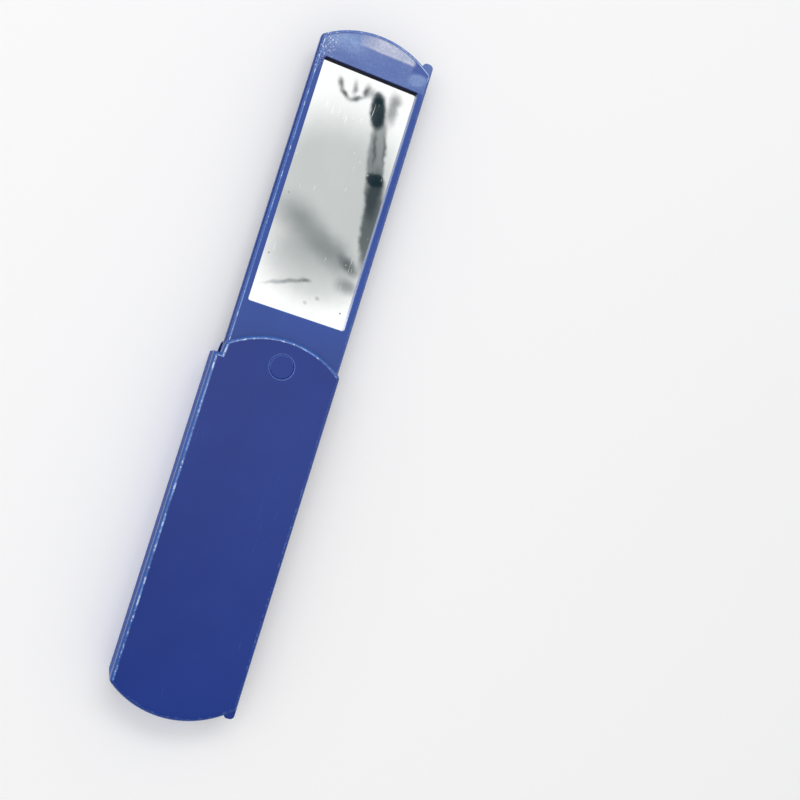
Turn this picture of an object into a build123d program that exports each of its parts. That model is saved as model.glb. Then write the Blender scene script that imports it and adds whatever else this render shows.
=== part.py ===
from build123d import *
import os
from math import sqrt

os.makedirs("parts", exist_ok=True)

# ---------------------------------------------------------------- driving dimensions, millimetres
# The brush lies open on its back: handle towards -Y, mirror arm towards +Y, mirror facing +Z.
ARM_WIDTH = 31.6          # mirror arm, side to side
ARM_REACH = 93.15         # pivot to the arm's far end
FOOT_MARGIN = 2.0         # the handle's foot past the folded arm's end
HEAD_REACH = 7.4          # pivot to the rounded end next to it, on handle and arm alike
END_RADIUS = 26.0         # the bow of every rounded end
CORNER_RADIUS = 1.5       # where a bowed end turns into a straight side
NOOK_SHARE = 0.8          # how much of the shoulder's flat its inner corner takes
SPINE_WALL = 1.8          # wall along the closed side of the handle
SPINE_GAP = 0.3           # arm's edge to the inside of that wall

BACK_THICK = 1.6          # back cover
TIP_GAP = 0.4             # bristle tips to the back cover
PIN_LENGTH = 4.3          # bristle pins, root to tip
BASE_THICK = 1.4          # brush base, the rear layer of the arm
FRAME_THICK = 2.4         # mirror frame, the front layer of the arm
LEAF_GAP = 0.3            # arm to the front cover
FRONT_THICK = 2.0         # front cover

COVER_EDGE = 1.2          # rounded rim of the covers' outer faces
EDGE_SPARE = 0.1          # how much rounder the shoulder is than that rim
FRAME_INSET = 0.45        # mirror frame's edge, set in from the brush base's edge
FRAME_EDGE = 0.7          # rounded rim of the mirror frame
BASE_EDGE = 0.3           # rounded rim of the brush base's rear face

RAIL_SIDE = 2.4           # mirror frame's side rails, arm's edge to the window
WINDOW_START = 14.2       # pivot to the near edge of the window
WINDOW_END = 11.35        # far edge of the window to the arm's end
WINDOW_CORNER = 0.5
WINDOW_BREAK = 0.15       # bevel round the window
GLASS_THICK = 0.7
GLASS_LAP = 0.7           # how far the glass runs under the frame's lip
GLASS_FIT = 0.1           # play round the glass in its pocket
TAPE_THICK = 0.2          # double-sided tape behind the glass
TAPE_MARGIN = 2.5         # glass edge to tape edge

NUB_WIDTH = 2.9           # finger nubs at the free corners
NUB_CORNER = 1.1
NUB_NOOK = 0.15           # inner corner between the arm's nub and its bowed end
ARM_NUB_RISE = 1.6        # how far a nub stands past the bow beside it
COVER_NUB_RISE = 0.55
COVER_NUB_THICK = 1.0
HEEL_DROP = 1.2           # pivot level down to the top of the spine's shoulder

AXLE_RADIUS = 2.5
AXLE_SOCKET = 1.0         # depth of the axle's seat in the front cover
AXLE_SEAT_RADIUS = 1.7
BUSH_WALL = 1.0
RUN_FIT = 0.05            # radial play of the bush on the axle
BOSS_RADIUS = 4.6         # post of the back cover that carries the arm
WASHER_RADIUS = 6.0
WASHER_THICK = 0.2
WASHER_PLAY = 0.05        # washer to the arm's face

CAP_RADIUS = 3.2          # round caps over the pivot, one on each cover
CAP_GAP = 0.12            # ring gap round a cap
CAP_DEPTH = 0.8
CAP_CHAMFER = 0.25
SEAT_CHAMFER = 0.2        # bevel round a cap's seat
SCREW_RADIUS = 1.0
SCREW_HEAD_RADIUS = 2.0
SCREW_HEAD_HEIGHT = 0.7
SCREW_CROSS_LENGTH = 2.6  # cross recess in the screw's head
SCREW_CROSS_WIDTH = 0.35
SCREW_BITE = 3.2          # screw's length inside the axle

ROWS = 6                  # bristle strips side by side
ROW_MARGIN = 5.3          # arm's edge to the outer strips
PINS = 15                 # pins on each strip
PIN_START = 18.0          # pivot to the first pin
PIN_END = 10.75           # last pin to the arm's end
PIN_ROOT_RADIUS = 0.55
PIN_NECK_RADIUS = 0.35
PIN_BALL_RADIUS = 0.5
PIN_SIDES = 6
RAIL_WIDTH = 1.6          # backing rail of a strip
RAIL_DEPTH = 0.8          # rail's height, sunk into the brush base
RAIL_END = 1.8            # rail past its last pin

RIB_WIDTH = 1.0           # stiffening inside the covers
POCKET_DEPTH = 0.5
POCKET_MARGIN = 3.0       # cover's edge to the thinned pocket
POCKET_START = 14.0       # pivot to the first pocket
POCKET_COUNT = 3
PEG_RADIUS = 0.5          # pegs that key the spine and the end block into the covers
PEG_LENGTH = 0.7
PEG_COUNT = 4             # pegs along the spine; the end block has one more

# ---------------------------------------------------------------- sizes that follow from them
arm_half = ARM_WIDTH / 2
handle_reach = ARM_REACH + FOOT_MARGIN
spine_inner = arm_half + SPINE_GAP
handle_left = spine_inner + SPINE_WALL
handle_mid = (arm_half - handle_left) / 2
handle_half = (arm_half + handle_left) / 2
shoulder_radius = COVER_EDGE + EDGE_SPARE
nook_radius = NOOK_SHARE * (SPINE_WALL - shoulder_radius)

# The origin lies under the middle of the open brush.
pivot_x = (handle_left - arm_half) / 2
pivot_y = (handle_reach - ARM_REACH) / 2

z_inside = BACK_THICK
z_tip = z_inside + TIP_GAP
z_base = z_tip + PIN_LENGTH
z_frame = z_base + BASE_THICK
z_face = z_frame + FRAME_THICK
z_front = z_face + LEAF_GAP
z_top = z_front + FRONT_THICK
z_boss = z_base - WASHER_PLAY - WASHER_THICK
pocket_depth = GLASS_THICK + TAPE_THICK


def level(z):
    """Plane at height z, with its origin on the pivot's axis."""
    return Plane(origin=(pivot_x, pivot_y, z))


def bow(half):
    """Height of a bowed end's middle above its corners, for that half width."""
    return END_RADIUS - sqrt(END_RADIUS**2 - half**2)


def handle_outline():
    """Outline of a cover, seen from the pivot; the closed side ends at a shoulder below it."""
    head = HEAD_REACH - bow(arm_half)
    foot = -handle_reach + bow(handle_half)
    with BuildSketch() as sketch:
        with BuildLine():
            ThreePointArc((-arm_half, head), (0, HEAD_REACH), (arm_half, head))
            Line((arm_half, head), (arm_half, foot))
            ThreePointArc((arm_half, foot), (handle_mid, -handle_reach), (-handle_left, foot))
            Line((-handle_left, foot), (-handle_left, -HEEL_DROP))
            Line((-handle_left, -HEEL_DROP), (-spine_inner, -HEEL_DROP))
            Line((-spine_inner, -HEEL_DROP), (-arm_half, head))
        make_face()
        foot_corners = sketch.vertices().group_by(Axis.Y)[0]
        shoulder_corner = sketch.vertices().group_by(Axis.X)[0].sort_by(Axis.Y)[-1]
        nook = sketch.vertices().sort_by_distance((-spine_inner, -HEEL_DROP))[0]
        head_corners = sketch.vertices().group_by(Axis.Y)[-1]
        fillet(foot_corners + head_corners, CORNER_RADIUS)
        fillet(shoulder_corner, shoulder_radius)
        fillet(nook, nook_radius)
    return sketch.sketch


def arm_outline(inset):
    """Outline of the arm's layers, drawn in by that much all round."""
    half = arm_half - inset
    far = ARM_REACH - inset
    near = HEAD_REACH - inset
    with BuildSketch() as sketch:
        with BuildLine():
            ThreePointArc((-half, far - bow(half)), (0, far), (half, far - bow(half)))
            Line((half, far - bow(half)), (half, -near + bow(half)))
            ThreePointArc((half, -near + bow(half)), (0, -near), (-half, -near + bow(half)))
            Line((-half, -near + bow(half)), (-half, far - bow(half)))
        make_face()
        fillet(sketch.vertices(), CORNER_RADIUS)
    return sketch.sketch


def finger_nub(bow_middle, end, way, rise):
    """Nub at the right-hand corner of the bowed end whose middle lies at (bow_middle, end)."""
    bow_centre = end - way * END_RADIUS
    beside = bow_centre + way * sqrt(END_RADIUS**2 - (arm_half - NUB_WIDTH - bow_middle) ** 2)
    corner = bow_centre + way * sqrt(END_RADIUS**2 - (arm_half - bow_middle) ** 2)
    tip = beside + way * rise
    root = corner - way * 2 * CORNER_RADIUS
    with BuildSketch() as sketch:
        with Locations((arm_half - NUB_WIDTH / 2, (tip + root) / 2)):
            Rectangle(NUB_WIDTH, abs(tip - root))
        fillet(sketch.vertices().sort_by(Axis.Y, reverse=way > 0)[:2], NUB_CORNER)
    return sketch.sketch


def arm_with_nub():
    """Outline of the brush base: the arm's outline with its finger nub blended in."""
    beside = ARM_REACH - END_RADIUS + sqrt(END_RADIUS**2 - (arm_half - NUB_WIDTH) ** 2)
    with BuildSketch() as sketch:
        add(arm_outline(0))
        add(finger_nub(0, ARM_REACH, 1, ARM_NUB_RISE))
        fillet(sketch.vertices().sort_by_distance((arm_half - NUB_WIDTH, beside))[0], NUB_NOOK)
    return sketch.sketch


def seat_rim(part, z):
    """Rim of the cap's seat on the outer face at height z."""
    return part.edges().filter_by(GeomType.CIRCLE).sort_by_distance((pivot_x, pivot_y, z))[0]


cover_face = handle_outline()
cover_nub = finger_nub(handle_mid, -handle_reach, -1, COVER_NUB_RISE)
base_face = arm_with_nub()
frame_face = arm_outline(FRAME_INSET)

# Peg places: along the spine's middle line, and one in the middle of the end block.
spine_middle = -(spine_inner + SPINE_WALL / 2)
peg_span = handle_reach - 2 * bow(handle_half) - 2 * HEEL_DROP
peg_places = [
    (spine_middle, -HEEL_DROP - peg_span * (i + 0.5) / PEG_COUNT) for i in range(PEG_COUNT)
]
end_peg_place = (handle_mid, -(ARM_REACH + SPINE_GAP + handle_reach) / 2)

# Pockets: thinned fields on the covers' inner faces, with ribs left between them.
pocket_width = ARM_WIDTH - 2 * POCKET_MARGIN
pocket_run = handle_reach - POCKET_START - bow(handle_half) - POCKET_MARGIN
pocket_length = (pocket_run - RIB_WIDTH * (POCKET_COUNT - 1)) / POCKET_COUNT
pocket_places = [
    (0, -POCKET_START - pocket_length / 2 - i * (pocket_length + RIB_WIDTH))
    for i in range(POCKET_COUNT)
]

# ================================================================ handle
# ---- front cover: the plate that the thumb rests on, with a finger nub and the cap's seat
with BuildPart() as front_cover:
    with BuildSketch(level(z_front)):
        add(cover_face)
    extrude(amount=FRONT_THICK)
    fillet(front_cover.faces().sort_by(Axis.Z)[-1].edges(), COVER_EDGE)
    with BuildSketch(level(z_front)):
        add(cover_nub)
    extrude(amount=COVER_NUB_THICK)
    with BuildSketch(level(z_top)):
        Circle(CAP_RADIUS + CAP_GAP)
    extrude(amount=-CAP_DEPTH, mode=Mode.SUBTRACT)
    chamfer(seat_rim(front_cover, z_top), SEAT_CHAMFER)
    with BuildSketch(level(z_front)):
        Circle(AXLE_SEAT_RADIUS)
    extrude(amount=AXLE_SOCKET, mode=Mode.SUBTRACT)
    with BuildSketch(level(z_front)):
        with Locations(peg_places + [end_peg_place]):
            Circle(PEG_RADIUS)
    extrude(amount=PEG_LENGTH, mode=Mode.SUBTRACT)
    with BuildSketch(level(z_front)):
        with Locations(pocket_places):
            RectangleRounded(pocket_width, pocket_length, CORNER_RADIUS)
    extrude(amount=POCKET_DEPTH, mode=Mode.SUBTRACT)
front_cover.part.label = "front_cover"
export_step(front_cover.part, "parts/front_cover.step")

# ---- back cover: the same plate turned over, with the post that carries the arm
with BuildPart() as back_cover:
    with BuildSketch(level(0)):
        add(cover_face)
    extrude(amount=BACK_THICK)
    fillet(back_cover.faces().sort_by(Axis.Z)[0].edges(), COVER_EDGE)
    with BuildSketch(level(z_inside)):
        add(cover_nub)
    extrude(amount=-COVER_NUB_THICK)
    with BuildSketch(level(z_inside)):
        Circle(BOSS_RADIUS)
    extrude(amount=z_boss - z_inside)
    with BuildSketch(level(0)):
        Circle(CAP_RADIUS + CAP_GAP)
    extrude(amount=CAP_DEPTH, mode=Mode.SUBTRACT)
    chamfer(seat_rim(back_cover, 0), SEAT_CHAMFER)
    with BuildSketch(level(0)):
        Circle(SCREW_HEAD_RADIUS + CAP_GAP)
    extrude(amount=CAP_DEPTH + SCREW_HEAD_HEIGHT, mode=Mode.SUBTRACT)
    with BuildSketch(level(0)):
        Circle(SCREW_RADIUS)
    extrude(amount=z_boss, mode=Mode.SUBTRACT)
    with BuildSketch(level(z_inside)):
        with Locations(peg_places + [end_peg_place]):
            Circle(PEG_RADIUS)
    extrude(amount=-PEG_LENGTH, mode=Mode.SUBTRACT)
    with BuildSketch(level(z_inside)):
        with Locations(pocket_places):
            RectangleRounded(pocket_width, pocket_length, CORNER_RADIUS)
    extrude(amount=-POCKET_DEPTH, mode=Mode.SUBTRACT)
back_cover.part.label = "back_cover"
export_step(back_cover.part, "parts/back_cover.step")

# ---- spine: the wall along the closed side, keyed into both covers by pegs
clear_width = 2 * ARM_WIDTH       # cuts away all that isn't the wall
clear_length = 3 * handle_reach
with BuildPart() as spine_wall:
    with BuildSketch(level(z_inside)):
        add(cover_face)
        with Locations((-spine_inner, 0)):
            Rectangle(clear_width, clear_length, align=(Align.MIN, Align.CENTER),
                      mode=Mode.SUBTRACT)
    extrude(amount=z_front - z_inside)
    with BuildSketch(level(z_inside - PEG_LENGTH)):
        with Locations(peg_places):
            Circle(PEG_RADIUS)
    extrude(amount=z_front - z_inside + 2 * PEG_LENGTH)
spine_wall.part.label = "spine_wall"
export_step(spine_wall.part, "parts/spine_wall.step")

# ---- end block: fills the foot of the handle outside the circle that the arm's end sweeps
with BuildPart() as end_block:
    with BuildSketch(level(z_inside)):
        add(cover_face)
        Circle(ARM_REACH + SPINE_GAP, mode=Mode.SUBTRACT)
    extrude(amount=z_front - z_inside)
    with BuildSketch(level(z_inside - PEG_LENGTH)):
        with Locations(end_peg_place):
            Circle(PEG_RADIUS)
    extrude(amount=z_front - z_inside + 2 * PEG_LENGTH)
end_block.part.label = "end_block"
export_step(end_block.part, "parts/end_block.step")

# ---- pivot axle: stands on the back cover's post and seats in the front cover
with BuildPart() as pivot_axle:
    with BuildSketch(level(z_boss)):
        Circle(AXLE_RADIUS)
    extrude(amount=z_front - z_boss)
    with BuildSketch(level(z_front)):
        Circle(AXLE_SEAT_RADIUS)
    extrude(amount=AXLE_SOCKET)
    with BuildSketch(level(z_boss)):
        Circle(SCREW_RADIUS)
    extrude(amount=SCREW_BITE, mode=Mode.SUBTRACT)
pivot_axle.part.label = "pivot_axle"
export_step(pivot_axle.part, "parts/pivot_axle.step")

# ---- pivot screw: comes in from the back and draws the axle down on its post
screw_seat = CAP_DEPTH + SCREW_HEAD_HEIGHT
with BuildPart() as pivot_screw:
    with BuildSketch(level(screw_seat)):
        Circle(SCREW_HEAD_RADIUS)
    extrude(amount=-SCREW_HEAD_HEIGHT)
    with BuildSketch(level(screw_seat)):
        Circle(SCREW_RADIUS)
    extrude(amount=z_boss + SCREW_BITE - screw_seat)
    with BuildSketch(level(CAP_DEPTH)):
        for turn in (0, 90):
            Rectangle(SCREW_CROSS_LENGTH, SCREW_CROSS_WIDTH, rotation=turn)
    extrude(amount=SCREW_HEAD_HEIGHT / 2, mode=Mode.SUBTRACT)
pivot_screw.part.label = "pivot_screw"
export_step(pivot_screw.part, "parts/pivot_screw.step")


# ---- pivot caps: round discs flush with the covers, with a fine ring gap round them
def cap_disc(outer_z, way):
    """Disc from its outer face inwards; way is +1 where outwards is +Z."""
    with BuildPart(mode=Mode.PRIVATE) as cap:
        with BuildSketch(level(outer_z)):
            Circle(CAP_RADIUS)
        extrude(amount=-way * CAP_DEPTH)
        rim = cap.faces().sort_by(Axis.Z)[-1 if way > 0 else 0].edges()
        chamfer(rim, CAP_CHAMFER)
    return cap.part


with BuildPart() as pivot_cap_front:
    add(cap_disc(z_top, 1))
pivot_cap_front.part.label = "pivot_cap_front"
export_step(pivot_cap_front.part, "parts/pivot_cap_front.step")

with BuildPart() as pivot_cap_back:
    add(cap_disc(0, -1))
pivot_cap_back.part.label = "pivot_cap_back"
export_step(pivot_cap_back.part, "parts/pivot_cap_back.step")


# ---- friction washers: one on the post under the arm, one under the front cover
def washer_ring(z, outer):
    with BuildPart(mode=Mode.PRIVATE) as ring:
        with BuildSketch(level(z)):
            Circle(outer)
            Circle(AXLE_RADIUS, mode=Mode.SUBTRACT)
        extrude(amount=WASHER_THICK)
    return ring.part


with BuildPart() as washer_back:
    add(washer_ring(z_boss, BOSS_RADIUS))
washer_back.part.label = "washer_back"
export_step(washer_back.part, "parts/washer_back.step")

with BuildPart() as washer_front:
    add(washer_ring(z_front - WASHER_THICK, WASHER_RADIUS))
washer_front.part.label = "washer_front"
export_step(washer_front.part, "parts/washer_front.step")

# ================================================================ mirror arm
bush_bore = AXLE_RADIUS + RUN_FIT
bush_outer = bush_bore + BUSH_WALL
window_width = ARM_WIDTH - 2 * RAIL_SIDE
window_length = ARM_REACH - WINDOW_START - WINDOW_END
window_middle = WINDOW_START + window_length / 2
glass_width = window_width + 2 * GLASS_LAP
glass_length = window_length + 2 * GLASS_LAP
row_pitch = (ARM_WIDTH - 2 * ROW_MARGIN) / (ROWS - 1)
row_places = [(i - (ROWS - 1) / 2) * row_pitch for i in range(ROWS)]
pin_pitch = (ARM_REACH - PIN_START - PIN_END) / (PINS - 0.5)
rail_length = (PINS - 0.5) * pin_pitch + 2 * RAIL_END
rail_middle = PIN_START - RAIL_END + rail_length / 2

# ---- brush base: rear layer of the arm, grooved for the bristle strips, with a finger nub
with BuildPart() as brush_base:
    with BuildSketch(level(z_base)):
        add(base_face)
    extrude(amount=BASE_THICK)
    fillet(brush_base.faces().sort_by(Axis.Z)[0].edges(), BASE_EDGE)
    with BuildSketch(level(z_base)):
        Circle(bush_outer)
    extrude(amount=BASE_THICK, mode=Mode.SUBTRACT)
    with BuildSketch(level(z_base)):
        with Locations([(x, rail_middle) for x in row_places]):
            Rectangle(RAIL_WIDTH, rail_length)
    extrude(amount=RAIL_DEPTH, mode=Mode.SUBTRACT)
brush_base.part.label = "brush_base"
export_step(brush_base.part, "parts/brush_base.step")

# ---- mirror frame: front layer, with a lipped window over the glass
with BuildPart() as mirror_frame:
    with BuildSketch(level(z_frame)):
        add(frame_face)
        Circle(bush_outer, mode=Mode.SUBTRACT)
    extrude(amount=FRAME_THICK)
    outer_rim = mirror_frame.faces().sort_by(Axis.Z)[-1].outer_wire().edges()
    fillet(outer_rim, FRAME_EDGE)
    with BuildSketch(level(z_frame)):
        with Locations((0, window_middle)):
            RectangleRounded(window_width, window_length, WINDOW_CORNER)
    extrude(amount=FRAME_THICK, mode=Mode.SUBTRACT)
    openings = mirror_frame.faces().sort_by(Axis.Z)[-1].inner_wires()
    chamfer(openings.sort_by(SortBy.LENGTH)[-1].edges(), WINDOW_BREAK)
    with BuildSketch(level(z_frame)):
        with Locations((0, window_middle)):
            Rectangle(glass_width + 2 * GLASS_FIT, glass_length + 2 * GLASS_FIT)
    extrude(amount=pocket_depth, mode=Mode.SUBTRACT)
mirror_frame.part.label = "mirror_frame"
export_step(mirror_frame.part, "parts/mirror_frame.step")

# ---- mirror glass and the tape that holds it
with BuildPart() as mirror_glass:
    with BuildSketch(level(z_frame + TAPE_THICK)):
        with Locations((0, window_middle)):
            Rectangle(glass_width, glass_length)
    extrude(amount=GLASS_THICK)
mirror_glass.part.label = "mirror_glass"
export_step(mirror_glass.part, "parts/mirror_glass.step")

with BuildPart() as mirror_tape:
    with BuildSketch(level(z_frame)):
        with Locations((0, window_middle)):
            Rectangle(glass_width - 2 * TAPE_MARGIN, glass_length - 2 * TAPE_MARGIN)
    extrude(amount=TAPE_THICK)
mirror_tape.part.label = "mirror_tape"
export_step(mirror_tape.part, "parts/mirror_tape.step")

# ---- pivot bush: lines the arm's bore and turns on the axle
with BuildPart() as pivot_bush:
    with BuildSketch(level(z_base)):
        Circle(bush_outer)
        Circle(bush_bore, mode=Mode.SUBTRACT)
    extrude(amount=BASE_THICK + FRAME_THICK)
pivot_bush.part.label = "pivot_bush"
export_step(pivot_bush.part, "parts/pivot_bush.step")


# ---- bristle strips: a rail in the brush base with a row of ball-tipped pins
def pin_section(drop, radius, centres):
    """Sketch of every pin of a row, cut across at that depth below the pins' roots."""
    with BuildSketch(level(z_base - drop), mode=Mode.PRIVATE) as section:
        with Locations(centres):
            RegularPolygon(radius, PIN_SIDES)
    return section.sketch


def bristle_strip(x, stagger):
    """One strip: its rail, and each pin tapering to a neck and swelling to a blunt ball tip."""
    slices = [
        (0, PIN_ROOT_RADIUS),
        (PIN_LENGTH - 2 * PIN_BALL_RADIUS, PIN_NECK_RADIUS),
        (PIN_LENGTH - PIN_BALL_RADIUS, PIN_BALL_RADIUS),
        (PIN_LENGTH, PIN_BALL_RADIUS / 2),
    ]
    with BuildPart(mode=Mode.PRIVATE) as strip:
        with BuildSketch(level(z_base)):
            with Locations((x, rail_middle)):
                Rectangle(RAIL_WIDTH, rail_length)
        extrude(amount=RAIL_DEPTH)
        for i in range(PINS):
            centre = (x, PIN_START + (i + stagger) * pin_pitch)
            sections = [pin_section(drop, radius, [centre]) for drop, radius in slices]
            loft(sections, ruled=True)
    return strip.part


for number, row_x in enumerate(row_places, start=1):
    strip_name = f"bristle_strip_{number}"
    strip_part = bristle_strip(row_x, stagger=number % 2 / 2)
    strip_part.label = strip_name
    export_step(strip_part, f"parts/{strip_name}.step")
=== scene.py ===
import math

import bpy
from mathutils import Matrix, Vector

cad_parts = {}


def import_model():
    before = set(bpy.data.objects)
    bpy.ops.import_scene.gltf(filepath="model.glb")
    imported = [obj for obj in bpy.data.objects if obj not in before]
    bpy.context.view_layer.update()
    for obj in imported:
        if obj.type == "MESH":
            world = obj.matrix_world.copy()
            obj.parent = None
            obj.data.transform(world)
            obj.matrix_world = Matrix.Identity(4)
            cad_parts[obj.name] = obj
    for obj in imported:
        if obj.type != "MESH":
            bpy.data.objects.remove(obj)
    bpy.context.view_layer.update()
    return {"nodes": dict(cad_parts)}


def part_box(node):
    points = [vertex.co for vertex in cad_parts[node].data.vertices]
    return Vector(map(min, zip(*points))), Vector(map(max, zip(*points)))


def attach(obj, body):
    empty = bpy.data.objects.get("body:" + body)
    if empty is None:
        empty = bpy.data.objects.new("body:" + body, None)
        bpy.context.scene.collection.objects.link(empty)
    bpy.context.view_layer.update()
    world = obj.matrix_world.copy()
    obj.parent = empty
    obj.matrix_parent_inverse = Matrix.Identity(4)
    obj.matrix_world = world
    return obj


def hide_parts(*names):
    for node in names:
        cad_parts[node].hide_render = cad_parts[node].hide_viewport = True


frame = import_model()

# The brush lies open on its back cover: handle towards -Y, mirror arm towards +Y, mirror up.
# Lengths are in metres, written as millimetres times MM.
MM = 0.001


# ------------------------------------------------------------------ node helpers
def node(tree, kind, **settings):
    """Adds a node and sets its plain settings."""
    made = tree.nodes.new(kind)
    for key, value in settings.items():
        setattr(made, key, value)
    return made


def join(tree, source, target):
    """Links one node's output to another's input."""
    tree.links.new(source, target)


def place(tree, where, kind="POINT", shift=(0, 0, 0), turn=(0, 0, 0), size=(1, 1, 1)):
    """Shifts, turns and stretches a pattern on the piece."""
    made = node(tree, "ShaderNodeMapping", vector_type=kind)
    made.inputs["Location"].default_value = shift
    made.inputs["Rotation"].default_value = turn
    made.inputs["Scale"].default_value = size
    join(tree, where, made.inputs["Vector"])
    return made.outputs["Vector"]


def clouds(tree, where, scale, detail=3.0, rough=0.55):
    """Soft cloudy pattern, that many features to the metre."""
    made = node(tree, "ShaderNodeTexNoise")
    made.inputs["Scale"].default_value = scale
    made.inputs["Detail"].default_value = detail
    made.inputs["Roughness"].default_value = rough
    join(tree, where, made.inputs["Vector"])
    return made.outputs[0]


def dots(tree, where, scale):
    """Distance to the nearest of scattered points, that many to the metre."""
    made = node(tree, "ShaderNodeTexVoronoi", feature="F1")
    made.inputs["Scale"].default_value = scale
    join(tree, where, made.inputs["Vector"])
    return made.outputs["Distance"]


def oval(tree, where, middle, half, turn=0.0):
    """1 at the middle of an oval patch, falling evenly to 0 at its half lengths."""
    made = node(tree, "ShaderNodeTexGradient", gradient_type="SPHERICAL")
    join(tree, place(tree, where, "TEXTURE", middle, (0, 0, turn), half), made.inputs[0])
    return made.outputs["Fac"]


def reach(tree, where, middle):
    """Distance from the upright axis through that middle."""
    made = node(tree, "ShaderNodeVectorMath", operation="LENGTH")
    flat = place(tree, where, shift=tuple(-c for c in middle), size=(1, 1, 0))
    join(tree, flat, made.inputs[0])
    return made.outputs["Value"]


def fade(tree, value, start, end, low=0.0, high=1.0, kind="SMOOTHSTEP"):
    """Carries a value from start..end to low..high."""
    made = node(tree, "ShaderNodeMapRange", interpolation_type=kind)
    join(tree, value, made.inputs["Value"])
    for name, number in zip(("From Min", "From Max", "To Min", "To Max"), (start, end, low, high)):
        made.inputs[name].default_value = number
    return made.outputs["Result"]


def past(tree, value, edge, soft):
    """1 beyond that length in millimetres, fading over the soft one on both sides of it."""
    return fade(tree, value, (edge - soft) * MM, (edge + soft) * MM)


def before(tree, value, edge, soft):
    """1 up to that length in millimetres, fading over the soft one on both sides of it."""
    return fade(tree, value, (edge + soft) * MM, (edge - soft) * MM)


def between(tree, value, low, high, soft):
    """1 between two lengths in millimetres, fading outwards over the soft one."""
    start = fade(tree, value, (low - soft) * MM, low * MM)
    return times(tree, start, fade(tree, value, (high + soft) * MM, high * MM))


def sums(tree, how, first, second):
    """Sum on two values; either may be a plain number."""
    made = node(tree, "ShaderNodeMath", operation=how)
    for slot, value in zip(made.inputs, (first, second)):
        if isinstance(value, (int, float)):
            slot.default_value = value
        else:
            join(tree, value, slot)
    return made.outputs[0]


def times(tree, first, *others):
    """Product of the values."""
    for other in others:
        first = sums(tree, "MULTIPLY", first, other)
    return first


def plus(tree, first, *others):
    """Total of the values."""
    for other in others:
        first = sums(tree, "ADD", first, other)
    return first


def tint(tree, amount, first, second):
    """Colour between first and second; either may be a plain colour."""
    made = node(tree, "ShaderNodeMix", data_type="RGBA")
    join(tree, amount, made.inputs[0])
    for slot, value in zip((made.inputs[6], made.inputs[7]), (first, second)):
        if isinstance(value, tuple):
            slot.default_value = (*value, 1.0)
        else:
            join(tree, value, slot)
    return made.outputs[2]


def on_piece(tree):
    """Place on the piece, in metres."""
    return node(tree, "ShaderNodeTexCoord").outputs["Object"]


def facing_of(tree):
    """Direction that the surface faces."""
    return node(tree, "ShaderNodeNewGeometry").outputs["Normal"]


def axis(tree, where, letter):
    """One of the three numbers of a place or direction."""
    made = node(tree, "ShaderNodeSeparateXYZ")
    join(tree, where, made.inputs[0])
    return made.outputs[letter]


def along_with(tree, first, second):
    """How far two directions agree; the second may be plain numbers."""
    made = node(tree, "ShaderNodeVectorMath", operation="DOT_PRODUCT")
    join(tree, first, made.inputs[0])
    if isinstance(second, tuple):
        made.inputs[1].default_value = second
    else:
        join(tree, second, made.inputs[1])
    return made.outputs["Value"]


def softened(tree, width):
    """The surface's direction as if its edges were rounded to that radius."""
    soft = node(tree, "ShaderNodeBevel", samples=6)
    soft.inputs["Radius"].default_value = width
    return soft.outputs[0]


def worn_edges(tree, width):
    """1 along outer edges, 0 on flat faces."""
    return fade(tree, along_with(tree, softened(tree, width), facing_of(tree)), 0.995, 0.86)


def relief(tree, shader, height, depth, soften=0.0):
    """Raised pattern, depth in metres, over edges softened by that radius."""
    bump = node(tree, "ShaderNodeBump")
    bump.inputs["Strength"].default_value = 1.0
    bump.inputs["Distance"].default_value = depth
    join(tree, height, bump.inputs["Height"])
    if soften:
        join(tree, softened(tree, soften), bump.inputs["Normal"])
    join(tree, bump.outputs[0], shader.inputs["Normal"])


def new_finish(name):
    """Fresh material: the finish, its tree and its shader."""
    finish = bpy.data.materials.new(name)
    finish.use_nodes = True
    return finish, finish.node_tree, finish.node_tree.nodes["Principled BSDF"]


# ------------------------------------------------------------------ blue plastic
# Paler blues: painted highlights on the rims, and the scratches, rubbed edges and dust of worn plastic.
LIT_RIM_LINE = (0.19, 0.36, 0.78)
RIM_GLINT = (0.60, 0.74, 0.96)
SCRATCHED = (0.32, 0.42, 0.75)
RUBBED_EDGE = (0.10, 0.26, 0.68)
DUST = (0.5, 0.56, 0.72)


def rim_band(tree, flat=(0.985, 0.90), upright=(0.05, 0.25)):
    """1 on the rounded rims of the flat plates, 0 on their faces and upright walls."""
    lean = sums(tree, "ABSOLUTE", axis(tree, facing_of(tree), "Z"), 0.0)
    return times(tree, fade(tree, lean, *flat), fade(tree, lean, *upright))


def rim_line(tree):
    """1 on the thin line where a rounded rim meets its flat face."""
    return rim_band(tree, (0.996, 0.985), (0.84, 0.92))


def head_side(tree):
    """1 on rims that lean to the head or the closed side, 0 on those of the open side and the foot."""
    return fade(tree, along_with(tree, facing_of(tree), (-0.5, 0.87, 0)), 0.0, 0.1)


def painted_rim_highlights(tree, where, colour, rim, pale_rim):
    """Paler rims, a broken highlight line and a few glints, all painted highlights, strongest on rims that
    lean to the lit side; gives the rims' band as well.
    """
    band, lit = rim_band(tree), head_side(tree)
    # Painted highlight: the rims' band is tinted paler, more where the rims lean to the lamps, and a
    # highlight line and glints are painted on it.
    colour = tint(tree, times(tree, band, fade(tree, lit, 0.0, 1.0, 0.15, pale_rim)), colour, rim)
    highlight_line = times(tree, rim_line(tree), fade(tree, lit, 0.0, 1.0, 0.12, 1.0))
    broken = times(tree, fade(tree, clouds(tree, where, 1500, 2), 0.40, 0.58, 0.45, 1.0),
                   fade(tree, clouds(tree, where, 130, 1), 0.42, 0.60, 0.2, 0.75))
    colour = tint(tree, times(tree, highlight_line, broken), colour, LIT_RIM_LINE)
    glints = fade(tree, clouds(tree, where, 520, 5, 0.75), 0.535, 0.575)
    return tint(tree, times(tree, glints, highlight_line, 0.7), colour, RIM_GLINT), band


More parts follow.
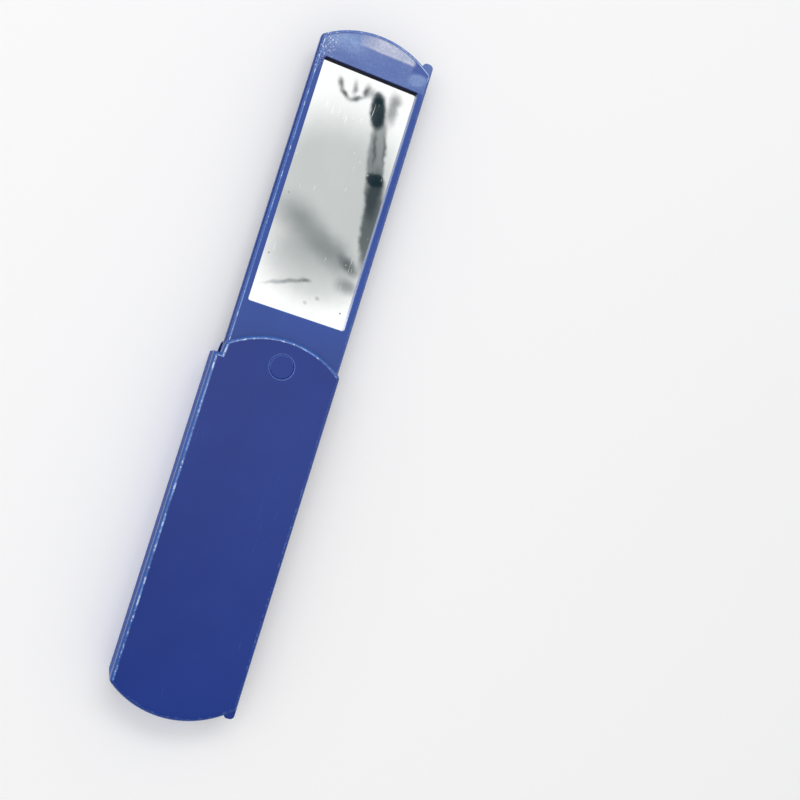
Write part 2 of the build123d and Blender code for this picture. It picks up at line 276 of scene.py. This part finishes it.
def hairlines(tree, where, turn, spacing, length, amount):
    """Fine scratches running at that turn, spacing and length in features to the metre."""
    along = place(tree, where, turn=(0, 0, turn), size=(spacing, length, spacing))
    return fade(tree, clouds(tree, along, 1, 1), amount, amount + 0.05)


def pocket_scratches(tree, where):
    """Two runs of hairlines, only in patches."""
    patches = fade(tree, clouds(tree, where, 75, 2), 0.50, 0.68)
    lines = sums(tree, "MAXIMUM", hairlines(tree, where, 0.09, 2600, 55, 0.72),
                 hairlines(tree, where, 1.1, 2300, 70, 0.73))
    return times(tree, lines, patches)


def rubbed_edges(tree, where):
    """Worn outer edges, broken by small nicks."""
    chips_and_glints = fade(tree, clouds(tree, where, 900, 4), 0.42, 0.62)
    return times(tree, worn_edges(tree, 0.22 * MM), plus(tree, times(tree, chips_and_glints, 0.6), 0.25))


def settled_dust(tree, where):
    """Scattered specks, only in patches."""
    specks = fade(tree, dots(tree, where, 520), 0.06, 0.035)
    return times(tree, specks, fade(tree, clouds(tree, where, 120, 2), 0.55, 0.62))


def moulded_skin(tree, shader, where, band, lines):
    """Fine grain, slight sink marks, wavy rims and sunk scratches."""
    grain = clouds(tree, where, 3200, 2)
    sink = times(tree, clouds(tree, where, 130, 1), 4.0)
    ripple = times(tree, clouds(tree, where, 1600, 1), band, 14.0)
    height = sums(tree, "SUBTRACT", plus(tree, grain, sink, ripple), lines)
    relief(tree, shader, height, 0.0022 * MM, soften=0.06 * MM)


def moulded_blue(name, deep, bright, rim, gloss, specular=0.5, pale_rim=0.6, scuff=None):
    """Moulded plastic: slow colour drift, pale rims with painted highlights, hairlines, rubbed edges and
    dust.
    """
    finish, tree, shader = new_finish(name)
    where = on_piece(tree)
    colour = tint(tree, fade(tree, clouds(tree, where, 38, 3), 0.3, 0.7), deep, bright)
    colour, band = painted_rim_highlights(tree, where, colour, rim, pale_rim)
    lines, edges = pocket_scratches(tree, where), rubbed_edges(tree, where)
    colour = tint(tree, times(tree, lines, 0.03), colour, SCRATCHED)
    colour = tint(tree, times(tree, edges, 0.45), colour, RUBBED_EDGE)
    colour = tint(tree, times(tree, settled_dust(tree, where), 0.09), colour, DUST)

    matt = fade(tree, clouds(tree, where, 55, 4), 0.35, 0.75, gloss, gloss + 0.07)
    matt = plus(tree, matt, times(tree, lines, 0.09), times(tree, edges, 0.10))
    if scuff:
        colour, matt = scuff(tree, where, colour, matt)
    join(tree, colour, shader.inputs["Base Color"])
    join(tree, matt, shader.inputs["Roughness"])
    moulded_skin(tree, shader, where, band, lines)
    shader.inputs["IOR"].default_value = 1.5
    shader.inputs["Specular IOR Level"].default_value = specular
    return finish


# ------------------------------------------------------------------ painted light and smudged roughness of single pieces
# Places of marks that sit at one place: upright axis of the cap seats, the middle of the head's bow,
# the head bar's pale patch of painted reflection and its corner of painted glints, and the arm's finger
# nub.
PIVOT = (1.05 * MM, 1.0 * MM, 0)
BOW_CENTRE = (1.05 * MM, 68.15 * MM, 0)
BAR_PALE_PATCH = (13.2 * MM, 86.1 * MM, 10 * MM)
GLINTING_CORNER = (-13.2 * MM, 84.8 * MM, 10 * MM)
FINGER_NUB = (15.3 * MM, 91.5 * MM, 7 * MM)

# Painted light on the head bar: a pale reflected haze and a paler reflected wedge, white painted glints, a
# painted highlight line on the rim, and painted shade on the recess's end wall.
REFLECTED_HAZE = (0.28, 0.41, 0.70)
REFLECTED_WEDGE = (0.74, 0.76, 0.84)
CORNER_GLINT = (0.90, 0.93, 0.97)
RIM_LINE_HIGHLIGHT = (0.42, 0.56, 0.88)
PAINTED_SHADE = (0.004, 0.006, 0.032)


def seat_ring_highlight(tree, where, colour, matt):
    """Paler ring painted on the broken edge of the cap seats, a painted highlight where the chamfers catch
    the light.
    """
    ring = times(tree, rim_band(tree), between(tree, reach(tree, where, PIVOT), 3.2, 3.7, 0.1))
    return tint(tree, times(tree, ring, 0.9), colour, (0.15, 0.25, 0.64)), matt


def bar_face(tree, where, along):
    """1 on the flat of the head bar, between the window and the bow."""
    bar = times(tree, past(tree, along, 83.0, 0.4), before(tree, reach(tree, where, BOW_CENTRE), 24.6, 0.3))
    return times(tree, bar, fade(tree, axis(tree, facing_of(tree), "Z"), 0.93, 0.99))


def gritty_smear(tree, where):
    """Wiped streaks, with fine grit in them."""
    streaks = place(tree, where, turn=(0, 0, -0.25), size=(70, 240, 70))
    streaks = fade(tree, clouds(tree, streaks, 1, 6, 0.68), 0.34, 0.66, 0.62, 1.0)
    return times(tree, streaks, fade(tree, clouds(tree, where, 1400, 3, 0.7), 0.35, 0.65, 0.7, 1.0))


def reflection_on_bar(tree, where, colour, smear):
    """Painted reflection over the bar, laid in the smear's streaks: a pale haze, stronger at its left and
    at a patch on its right, and a paler wedge.
    """
    across, along = axis(tree, where, "X"), axis(tree, where, "Y")
    left = times(tree, before(tree, across, -3.5, 2.5), past(tree, along, 87.25, 1.75))
    clear = times(tree, past(tree, across, 11.05, 0.45), past(tree, along, 87.6, 0.7))
    pale_patch = oval(tree, where, BAR_PALE_PATCH, (3.2 * MM, 2.2 * MM, 5 * MM), 0.3)
    bar_reflection = sums(tree, "SUBTRACT", 0.36, times(tree, clear, 0.34))
    bar_reflection = plus(tree, bar_reflection, times(tree, left, 0.52), fade(tree, pale_patch, 0.0, 0.5, 0.0, 0.42))
    colour = tint(tree, times(tree, bar_reflection, smear), colour, REFLECTED_HAZE)

    wedge = times(tree, between(tree, across, -3.5, 10.4, 1.5), past(tree, along, 89.3, 0.4))
    wedge = times(tree, wedge, fade(tree, across, -5.5 * MM, 2.0 * MM, 0.3, 1.0))
    return tint(tree, times(tree, wedge, smear, 0.95), colour, REFLECTED_WEDGE)


def corner_glints(tree, where):
    """Small white glints, a painted highlight round the head bar's left corner."""
    chips_and_glints = fade(tree, clouds(tree, where, 1900, 4, 0.75), 0.56, 0.62)
    corner = oval(tree, where, GLINTING_CORNER, (3.4 * MM, 8.0 * MM, 5 * MM), -0.25)
    return times(tree, chips_and_glints, fade(tree, corner, 0.0, 0.5))


def head_bar_light_and_shade(tree, where, colour, matt):
    """Head bar of the mirror frame: a painted reflection in smeared streaks, painted glints at its corner,
    a painted highlight line on the rim beside the nub and painted shade on the recess's end wall.
    """
    across, along = axis(tree, where, "X"), axis(tree, where, "Y")
    smear = times(tree, gritty_smear(tree, where), bar_face(tree, where, along))
    colour = reflection_on_bar(tree, where, colour, smear)
    chips_and_glints = corner_glints(tree, where)
    # Painted highlight: white glints at the corner.
    colour = tint(tree, times(tree, chips_and_glints, 0.85), colour, CORNER_GLINT)
    # Painted highlight line on the rim beside the nub.
    nub_side_line = times(tree, rim_line(tree), past(tree, across, 6.5, 2.5), past(tree, along, 86.75, 0.75))
    colour = tint(tree, times(tree, nub_side_line, 0.75), colour, RIM_LINE_HIGHLIGHT)

    # Painted shade on the recess's end wall that faces the foot.
    footward = fade(tree, axis(tree, facing_of(tree), "Y"), -0.3, -0.8)
    end_wall = times(tree, between(tree, along, 82.3, 83.1, 0.2), footward)
    colour = tint(tree, end_wall, colour, PAINTED_SHADE)
    matt = plus(tree, matt, times(tree, smear, 0.08), times(tree, chips_and_glints, 0.2), times(tree, end_wall, 0.75))
    return colour, matt


def nub_highlight(tree, where, colour, matt):
    """Paler patch painted on the finger nub, a painted highlight."""
    near = oval(tree, where, FINGER_NUB, (2.6 * MM, 2.6 * MM, 9 * MM))
    return tint(tree, fade(tree, near, 0.0, 0.35, 0.0, 0.32), colour, (0.22, 0.36, 0.68)), matt


# ------------------------------------------------------------------ other finishes
def silvered_mirror():
    """Cheap silvered mirror: a grey-green cast, wipe marks, hairline scratches and dust."""
    finish, tree, shader = new_finish("silvered_mirror")
    where = on_piece(tree)
    cast = fade(tree, clouds(tree, place(tree, where, size=(1, 0.5, 1)), 45, 4), 0.35, 0.7)
    colour = tint(tree, cast, (0.985, 0.99, 0.985), (0.90, 0.93, 0.915))

    wipes = place(tree, where, turn=(0, 0, 0.2), size=(420, 38, 420))
    wipes = fade(tree, clouds(tree, wipes, 1, 5, 0.65), 0.45, 0.85)
    hair = place(tree, where, turn=(0, 0, -0.12), size=(4200, 150, 4200))
    hair = fade(tree, clouds(tree, hair, 1, 1), 0.735, 0.775)
    hair = times(tree, hair, fade(tree, clouds(tree, where, 90, 2), 0.46, 0.6))
    dust = fade(tree, dots(tree, where, 330), 0.085, 0.05)
    dust = times(tree, dust, fade(tree, clouds(tree, where, 140, 2), 0.5, 0.6))
    lint = fade(tree, dots(tree, place(tree, where, shift=(0.3, 0.2, 0)), 150), 0.045, 0.03)

    colour = tint(tree, times(tree, dust, 0.6), colour, (0.55, 0.57, 0.56))
    colour = tint(tree, times(tree, lint, 0.8), colour, (0.14, 0.15, 0.15))
    colour = tint(tree, times(tree, hair, 0.25), colour, (0.98, 0.99, 0.99))
    join(tree, colour, shader.inputs["Base Color"])

    solid = sums(tree, "MAXIMUM", dust, lint)
    marks = sums(tree, "MAXIMUM", solid, hair)
    matt = plus(tree, times(tree, wipes, 0.03), 0.012, times(tree, marks, 0.25))
    join(tree, matt, shader.inputs["Roughness"])
    join(tree, fade(tree, solid, 0.0, 1.0, 1.0, 0.35, "LINEAR"), shader.inputs["Metallic"])
    height = plus(tree, times(tree, clouds(tree, where, 26, 1), 12.0), marks)
    relief(tree, shader, height, 0.0012 * MM)
    return finish


def satin_bristle():
    """Satin nylon, darker between the pins and smoother and paler towards the ball tips."""
    finish, tree, shader = new_finish("satin_bristle")
    where = on_piece(tree)
    height = axis(tree, where, "Z")
    tips = before(tree, height, 2.8, 0.6)
    cloud = fade(tree, clouds(tree, where, 260, 3), 0.3, 0.7)
    colour = tint(tree, cloud, (0.012, 0.026, 0.135), (0.022, 0.044, 0.20))
    colour = tint(tree, times(tree, tips, 0.45), colour, (0.05, 0.09, 0.33))
    roots = past(tree, height, 6.0, 0.4)
    lint = times(tree, roots, fade(tree, clouds(tree, where, 1500, 4), 0.48, 0.68))
    colour = tint(tree, times(tree, lint, 0.3), colour, (0.28, 0.30, 0.38))
    join(tree, colour, shader.inputs["Base Color"])
    matt = fade(tree, tips, 0.0, 1.0, 0.46, 0.28, "LINEAR")
    join(tree, plus(tree, matt, times(tree, cloud, 0.08)), shader.inputs["Roughness"])
    relief(tree, shader, clouds(tree, where, 4200, 3), 0.004 * MM)
    return finish


def natural_nylon():
    """Milky bearing nylon with a little grey from the turning arm."""
    finish, tree, shader = new_finish("natural_nylon")
    where = on_piece(tree)
    cloud = fade(tree, clouds(tree, where, 420, 4), 0.35, 0.7)
    colour = tint(tree, cloud, (0.80, 0.80, 0.75), (0.70, 0.70, 0.66))
    rings = fade(tree, clouds(tree, place(tree, where, size=(500, 500, 5200)), 1, 2), 0.5, 0.72)
    colour = tint(tree, times(tree, rings, 0.35), colour, (0.42, 0.43, 0.44))
    colour = tint(tree, times(tree, worn_edges(tree, 0.08 * MM), 0.5), colour, (0.9, 0.9, 0.87))
    join(tree, colour, shader.inputs["Base Color"])
    join(tree, fade(tree, cloud, 0, 1, 0.38, 0.52, "LINEAR"), shader.inputs["Roughness"])
    relief(tree, shader, plus(tree, rings, clouds(tree, where, 5000, 2)), 0.003 * MM)
    return finish


def plated_steel():
    """Zinc-plated steel: faint turning marks and a bluish and yellowish bloom."""
    finish, tree, shader = new_finish("plated_steel")
    where = on_piece(tree)
    bloom = fade(tree, clouds(tree, where, 520, 3), 0.35, 0.68)
    colour = tint(tree, bloom, (0.55, 0.57, 0.62), (0.66, 0.64, 0.56))
    turned = clouds(tree, place(tree, where, size=(300, 300, 7000)), 1, 3)
    colour = tint(tree, fade(tree, turned, 0.45, 0.8, 0, 0.3), colour, (0.36, 0.37, 0.38))
    colour = tint(tree, times(tree, worn_edges(tree, 0.06 * MM), 0.6), colour, (0.78, 0.78, 0.77))
    join(tree, colour, shader.inputs["Base Color"])
    join(tree, fade(tree, turned, 0.3, 0.7, 0.24, 0.42), shader.inputs["Roughness"])
    shader.inputs["Metallic"].default_value = 1.0
    relief(tree, shader, turned, 0.004 * MM)
    return finish


def foam_tape():
    """White foam tape: open cells under a dull skin."""
    finish, tree, shader = new_finish("foam_tape")
    where = on_piece(tree)
    cells = dots(tree, where, 3600)
    colour = tint(tree, fade(tree, cells, 0.1, 0.6), (0.70, 0.70, 0.66), (0.86, 0.86, 0.82))
    stain = fade(tree, clouds(tree, where, 140, 3), 0.5, 0.75, 0, 0.4)
    colour = tint(tree, stain, colour, (0.66, 0.63, 0.52))
    join(tree, colour, shader.inputs["Base Color"])
    join(tree, fade(tree, cells, 0, 0.7, 0.75, 0.92), shader.inputs["Roughness"])
    relief(tree, shader, cells, 0.02 * MM)
    return finish


# ------------------------------------------------------------------ which finish goes where
# Deep and bright end of each blue's drift, and its rims' paler blue, a painted highlight.
COVER_BLUE = (0.0022, 0.0245, 0.222), (0.0035, 0.031, 0.252)
CAP_BLUE = (0.0025, 0.025, 0.230), (0.004, 0.031, 0.260)
ARM_BLUE = (0.019, 0.061, 0.300), (0.024, 0.071, 0.335)
SIDE_BLUE = (0.012, 0.060, 0.34), (0.017, 0.075, 0.38)
COVER_RIM = (0.024, 0.125, 0.44)
CAP_RIM = (0.10, 0.17, 0.52)
ARM_RIM = (0.030, 0.115, 0.43)
FRAME_RIM = (0.030, 0.125, 0.46)

finishes = {
    "cover_blue": moulded_blue("cover_blue_gloss", *COVER_BLUE, COVER_RIM, 0.15, scuff=seat_ring_highlight),
    "arm_blue": moulded_blue("arm_blue_gloss", *ARM_BLUE, ARM_RIM, 0.17),
    "cap_blue": moulded_blue("cap_blue_gloss", *CAP_BLUE, CAP_RIM, 0.17),
    "bristle": satin_bristle(),
    "mirror": silvered_mirror(),
    "tape": foam_tape(),
    "nylon": natural_nylon(),
    "steel": plated_steel(),
}
own_finishes = {
    "mirror_frame": moulded_blue("frame_blue_painted_light", *ARM_BLUE, FRAME_RIM, 0.17, scuff=head_bar_light_and_shade),
    "brush_base": moulded_blue("base_blue_nub_highlight", *ARM_BLUE, ARM_RIM, 0.17, scuff=nub_highlight),
    "spine_wall": moulded_blue("side_blue_satin", *SIDE_BLUE, COVER_RIM, 0.45, specular=0.08),
}
own_finishes["end_block"] = own_finishes["spine_wall"]


def dress_nodes():
    """Gives every solid of the frame its own finish, or the finish of its slot."""
    for name, piece in frame["nodes"].items():
        for slot in piece.material_slots:
            plain = finishes[slot.material.name.split(".")[0]]
            slot.material = own_finishes.get(name, plain)


# ------------------------------------------------------------------ bristle rows
ROWS = 6
PINS = 15
BALL_RADIUS = 0.5 * MM
BALL_CUT = 0.6           # part of the ball's radius above its middle, where the neck leaves it
NECK_RADIUS = 0.34 * MM
NECK_RISE = 0.25 * MM
ROOT_RADIUS = 0.52 * MM
ROOT_SINK = 0.1 * MM     # root's end inside the rail
SHAFT_SHARES = 0.72, 0.20, 0.08      # shaft, waist and root, as shares of the pin above its neck
SHAFT_WIDEN = 1.08
WAIST_WIDEN = 1.12
RAIL_END = 1.8 * MM      # rail past its last pin
RAIL_DEPTH = 0.8 * MM    # rail's height, sunk into the brush base
RAIL_INSET = 0.12 * MM
RAIL_EDGE = 0.08 * MM
CLOSE = 1e-6             # lengths nearer than this are the same


def only(kind, chosen):
    """In edit mode, selects just the faces, edges or points that the test picks."""
    mesh = bpy.context.object.data
    bpy.ops.object.mode_set(mode="EDIT")
    bpy.ops.mesh.select_mode(type={"polygons": "FACE", "edges": "EDGE", "vertices": "VERT"}[kind])
    bpy.ops.mesh.select_all(action="DESELECT")
    bpy.ops.object.mode_set(mode="OBJECT")
    for part in getattr(mesh, kind):
        part.select = chosen(part)
    bpy.ops.object.mode_set(mode="EDIT")


def rise(height, widen):
    """Extrudes the selected loop straight up and scales the new loop about its middle."""
    bpy.ops.mesh.extrude_region_move(TRANSFORM_OT_translate={"value": (0, 0, height)})
    bpy.ops.transform.resize(value=(widen, widen, 1))


def open_ball(centre):
    """Ball tip with its top cut away; gives the cut's height and radius too."""
    bpy.ops.object.select_all(action="DESELECT")
    bpy.ops.mesh.primitive_uv_sphere_add(segments=10, ring_count=6, radius=BALL_RADIUS,
                                         location=(0, 0, centre))
    pin = bpy.context.object
    pin.name = "bristle_pin"
    bpy.ops.object.transform_apply(location=True, rotation=True, scale=True)
    only("polygons", lambda face: face.center.z > centre + BALL_CUT * BALL_RADIUS)
    bpy.ops.mesh.delete(type="FACE")
    bpy.ops.object.mode_set(mode="OBJECT")
    rim = max(v.co.z for v in pin.data.vertices)
    rim_radius = max(v.co.xy.length for v in pin.data.vertices if v.co.z > rim - CLOSE)
    return pin, rim, rim_radius


def model_pin(root_level, tip_level):
    """One pin at the origin's axis: ball tip, slim neck and a flared root that enters its rail."""
    pin, rim, rim_radius = open_ball(tip_level + BALL_RADIUS)
    only("vertices", lambda point: point.co.z > rim - CLOSE)
    shaft, waist, root = (share * (root_level - rim - NECK_RISE) for share in SHAFT_SHARES)
    rise(NECK_RISE, NECK_RADIUS / rim_radius)
    rise(shaft, SHAFT_WIDEN)
    rise(waist, WAIST_WIDEN)
    rise(root + ROOT_SINK, ROOT_RADIUS / (NECK_RADIUS * SHAFT_WIDEN * WAIST_WIDEN))
    bpy.ops.mesh.edge_face_add()
    bpy.ops.mesh.select_all(action="SELECT")
    bpy.ops.mesh.normals_make_consistent(inside=False)
    bpy.ops.object.mode_set(mode="OBJECT")
    bpy.ops.object.shade_smooth_by_angle(angle=math.radians(50))
    return pin


def model_rail(low, high):
    """Backing rail of one row, flush with the brush base, its long edges broken."""
    bpy.ops.object.select_all(action="DESELECT")
    bpy.ops.mesh.primitive_cube_add(size=1, location=(low + high) / 2)
    rail = bpy.context.object
    bpy.ops.transform.resize(value=high - low)
    bpy.ops.object.transform_apply(location=True, rotation=True, scale=True)
    only("polygons", lambda face: face.normal.z < -0.5)
    bpy.ops.mesh.inset(thickness=RAIL_INSET)

    def on_long_edge(number):
        point = rail.data.vertices[number].co
        beside = min(abs(point.x - low.x), abs(point.x - high.x))
        return abs(point.z - low.z) < CLOSE and beside < CLOSE

    only("edges", lambda edge: all(on_long_edge(number) for number in edge.vertices))
    bpy.ops.mesh.bevel(offset=RAIL_EDGE, segments=2)
    bpy.ops.object.mode_set(mode="OBJECT")
    bpy.ops.object.shade_smooth_by_angle(angle=math.radians(35))
    return rail


def copy_pin(pin, across, along):
    """Selected copy of the pin, with its own mesh, at that place."""
    new = pin.copy()
    new.data = pin.data.copy()
    bpy.context.collection.objects.link(new)
    new.location = (across, along, 0)
    new.select_set(True)


def model_rows():
    """The rows of pins on their rails; every other row is set half a pitch on."""
    pin = None
    for number in range(1, ROWS + 1):
        low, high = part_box(f"bristle_strip_{number}")
        root_level = high.z - RAIL_DEPTH
        if pin is None:
            pin = model_pin(root_level, low.z)
        row = model_rail(Vector((low.x, low.y, root_level)), high)
        row.name = f"bristle_row_{number}"
        pitch = (high.y - low.y - 2 * RAIL_END) / (PINS - 0.5)
        stagger = number % 2 / 2
        bpy.ops.object.select_all(action="DESELECT")
        for i in range(PINS):
            copy_pin(pin, (low.x + high.x) / 2, low.y + RAIL_END + (i + stagger) * pitch)
        row.select_set(True)
        bpy.context.view_layer.objects.active = row
        bpy.ops.object.transform_apply(location=True, rotation=True, scale=True)
        bpy.ops.object.join()
        row.data.materials.clear()
        row.data.materials.append(finishes["bristle"])
        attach(row, "mirror_arm")
        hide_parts(f"bristle_strip_{number}")
    bpy.data.objects.remove(pin, do_unlink=True)


# ------------------------------------------------------------------ floor, room, lamps, camera
FLOOR_GAP = 0.02 * MM    # keeps the floor clear of the back cover's underside


def lay_floor():
    """Plain pale floor that keeps the shadow and reads as near white to the camera."""
    bpy.ops.object.select_all(action="DESELECT")
    bpy.ops.mesh.primitive_plane_add(size=6, location=(0, 0, -FLOOR_GAP))
    bpy.ops.object.transform_apply(location=True, rotation=True, scale=True)
    floor = bpy.context.object
    floor.name = "floor"
    finish, tree, shader = new_finish("pale_floor")
    drift = fade(tree, clouds(tree, on_piece(tree), 1.5, 2), 0.3, 0.7)
    join(tree, tint(tree, drift, (0.90, 0.90, 0.905), (0.93, 0.93, 0.93)), shader.inputs["Base Color"])
    shader.inputs["Roughness"].default_value = 0.8
    shader.inputs["Specular IOR Level"].default_value = 0.2
    seen = node(tree, "ShaderNodeLightPath").outputs["Is Camera Ray"]
    shader.inputs["Emission Color"].default_value = (1, 1, 1, 1)
    join(tree, times(tree, seen, 0.07), shader.inputs["Emission Strength"])
    floor.data.materials.append(finish)


CAMERA_PLACE = (-0.04415, -0.0139, 0.2969)
CAMERA_RIGHT = (0.9171, 0.29385, 0.26939)
CAMERA_UP = (-0.29766, 0.95427, -0.02758)
CAMERA_ANGLE = 40        # degrees

# Soft dark shapes of the room, by where on the mirror the camera sees them, in millimetres:
# middle, half lengths, turn in degrees, depth of shade, softness of the edge.
ROOM_SHAPES = [
    # broad soft shades
    ((-0.3, 48.9), (28.8, 25.9), -88, 0.40, 0.55),
    ((3.2, 35.5), (16.3, 5.9), -30, 0.36, 0.90),
    ((-6.3, 40.6), (10.5, 7.1), -17, 0.40, 1.00),
    ((2.0, 28.8), (18.5, 12.1), 3, 0.30, 0.55),
    # long bar beside the open side
    ((5.8, 74.3), (5.7, 2.7), -77, 0.96, 0.38),
    ((5.0, 77.9), (2.5, 2.3), 15, 0.85, 0.60),
    ((9.4, 61.3), (19.3, 3.1), -79, 0.62, 0.40),
    ((2.4, 78.6), (2.3, 2.1), 35, 0.50, 0.90),
    ((9.4, 76.5), (6.3, 2.2), -81, 0.62, 0.80),
    ((10.0, 79.4), (2.5, 2.1), -85, 0.40, 0.90),
    ((7.9, 65.0), (7.6, 0.7), -78, 0.55, 0.90),
    ((10.4, 65.4), (7.5, 0.6), -74, 0.45, 0.90),
    ((10.6, 56.9), (3.3, 2.4), -4, 0.90, 0.45),
    ((13.0, 45.5), (16.9, 3.6), -81, 0.80, 0.40),
    ((10.5, 32.5), (5.6, 2.5), -30, 0.65, 0.85),
    # double curve near the head
    ((-6.0, 78.2), (2.9, 1.3), 117, 0.80, 0.90),
    ((-4.1, 76.0), (2.5, 1.2), -32, 0.88, 0.90),
    ((-0.9, 75.7), (3.0, 1.1), 22, 0.85, 0.90),
    ((-1.9, 78.5), (3.0, 1.1), 99, 0.70, 0.90),
    ((1.2, 78.5), (3.0, 1.4), 86, 0.80, 0.90),
    # thin line and spots towards the pivot
    ((-4.6, 22.9), (8.6, 0.8), 22, 0.50, 0.80),
    ((0.1, 24.8), (2.7, 0.8), 13, 0.60, 0.80),
    ((11.9, 26.9), (5.3, 3.2), -1, 0.52, 0.90),
    ((5.2, 21.1), (0.9, 0.8), -20, 0.50, 0.90),
    ((2.4, 19.1), (0.8, 0.7), -13, 0.40, 0.90),
]
WAVINESS = 0.006         # how far their outlines waver, on a ceiling one unit up
ROOM_DARK = (0.008, 0.024, 0.034)
ROOM_LIGHT = (1.04, 1.05, 1.05)
PANE_LOW = (0.92, 1.0, 1.12)
PANE_HIGH = (1.8, 2.15, 2.65)
ROOM_FILL = (0.66, 0.66, 0.665)


def vectors(tree, how, first, second):
    """Sum on two vectors; the second may be plain numbers."""
    made = node(tree, "ShaderNodeVectorMath", operation=how)
    join(tree, first, made.inputs[0])
    if isinstance(second, tuple):
        made.inputs[1].default_value = second
    elif isinstance(second, float):
        made.inputs["Scale"].default_value = second
    else:
        join(tree, second, made.inputs[1])
    return made.outputs[0]


def ceiling_spot(tree, facing):
    """Where a direction meets the ceiling one unit up."""
    up = sums(tree, "MAXIMUM", axis(tree, facing, "Z"), 0.05)
    spot = node(tree, "ShaderNodeCombineXYZ")
    join(tree, sums(tree, "DIVIDE", axis(tree, facing, "X"), up), spot.inputs[0])
    join(tree, sums(tree, "DIVIDE", axis(tree, facing, "Y"), up), spot.inputs[1])
    return spot.outputs[0]


def wavering(tree, spot):
    """The same spot, moved a little at random."""
    wobble = node(tree, "ShaderNodeTexNoise")
    wobble.inputs["Scale"].default_value = 110
    wobble.inputs["Detail"].default_value = 6
    join(tree, spot, wobble.inputs["Vector"])
    centred = vectors(tree, "SUBTRACT", wobble.outputs["Color"], (0.5, 0.5, 0.5))
    return vectors(tree, "ADD", spot, vectors(tree, "SCALE", centred, WAVINESS))


def on_mirror(tree, spot):
    """Where on the mirror glass the camera sees that spot of the ceiling."""
    rise = CAMERA_PLACE[2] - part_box("mirror_glass")[1].z
    return place(tree, spot, shift=(*CAMERA_PLACE[:2], 0), size=(rise, rise, rise))


def shaped_room(tree, facing):
    """Pale room with its soft dark shapes, dimmer towards the foot."""
    spot = ceiling_spot(tree, facing)
    light = fade(tree, axis(tree, spot, "Y"), -0.45, 0.10, 0.22, 1.0)
    seen = on_mirror(tree, wavering(tree, spot))
    for (across, along), (long, short), turn, depth, soft in ROOM_SHAPES:
        middle, half = (across * MM, along * MM, 0), (long * MM, short * MM, 1)
        shape = oval(tree, seen, middle, half, math.radians(turn))
        light = times(tree, light, fade(tree, shape, 0.0, soft, 1.0, 1.0 - depth))
    return tint(tree, light, ROOM_DARK, ROOM_LIGHT)


def with_window(tree, facing, room):
    """Adds a tall window beyond the head, seen only in gloss."""
    height = axis(tree, facing, "Z")
    toward = fade(tree, along_with(tree, facing, (-0.4, 0.85, 0.2)), 0.15, 0.40)
    window = times(tree, toward, fade(tree, height, 0.88, 0.84))
    panes = tint(tree, fade(tree, height, 0.46, 0.56), PANE_LOW, PANE_HIGH)
    return tint(tree, window, room, panes)


def build_room():
    """Even pale light all round; mirrors and gloss see the room with its shapes and window."""
    world = bpy.data.worlds.new("studio_room")
    bpy.context.scene.world = world
    world.use_nodes = True
    tree = world.node_tree
    tree.nodes.clear()
    facing = node(tree, "ShaderNodeTexCoord").outputs["Generated"]
    mirrored = with_window(tree, facing, shaped_room(tree, facing))
    path = node(tree, "ShaderNodeLightPath")
    shown = tint(tree, path.outputs["Is Glossy Ray"], ROOM_FILL, mirrored)
    shown = tint(tree, path.outputs["Is Camera Ray"], shown, (1.0, 1.0, 1.0))
    back = node(tree, "ShaderNodeBackground")
    join(tree, shown, back.inputs["Color"])
    out = node(tree, "ShaderNodeOutputWorld")
    join(tree, back.outputs[0], out.inputs["Surface"])


def hang_lamp(name, at, to, size, power):
    """Soft oblong lamp that hangs at one place and points to another."""
    data = bpy.data.lights.new(name, "AREA")
    data.shape = "RECTANGLE"
    data.size, data.size_y = size
    data.energy = power
    lamp = bpy.data.objects.new(name, data)
    bpy.context.scene.collection.objects.link(lamp)
    lamp.location = at
    lamp.rotation_euler = (Vector(to) - Vector(at)).to_track_quat("-Z", "Y").to_euler()


def set_camera():
    """Looks down on the open brush from over its closed side, head of the arm at the top."""
    data = bpy.data.cameras.new("camera")
    data.angle = math.radians(CAMERA_ANGLE)
    data.clip_start = 0.01
    camera = bpy.data.objects.new("camera", data)
    bpy.context.scene.collection.objects.link(camera)
    right = Vector(CAMERA_RIGHT)
    back = right.cross(Vector(CAMERA_UP)).normalized()
    upward = back.cross(right).normalized()
    turn = Matrix((right.normalized(), upward, back)).transposed()
    camera.matrix_world = Matrix.Translation(CAMERA_PLACE) @ turn.to_4x4()
    bpy.context.scene.camera = camera


dress_nodes()
model_rows()
lay_floor()
build_room()
hang_lamp("head_strip", (-0.063, 0.60, 0.87), (0, 0.02, 0), (0.80, 0.30), 2.6)
hang_lamp("side_strip", (-0.256, 0.03, 0.545), (-0.016, 0.0, 0.01), (0.16, 0.50), 0.45)
set_camera()
bpy.context.scene.view_settings.view_transform = "Standard"
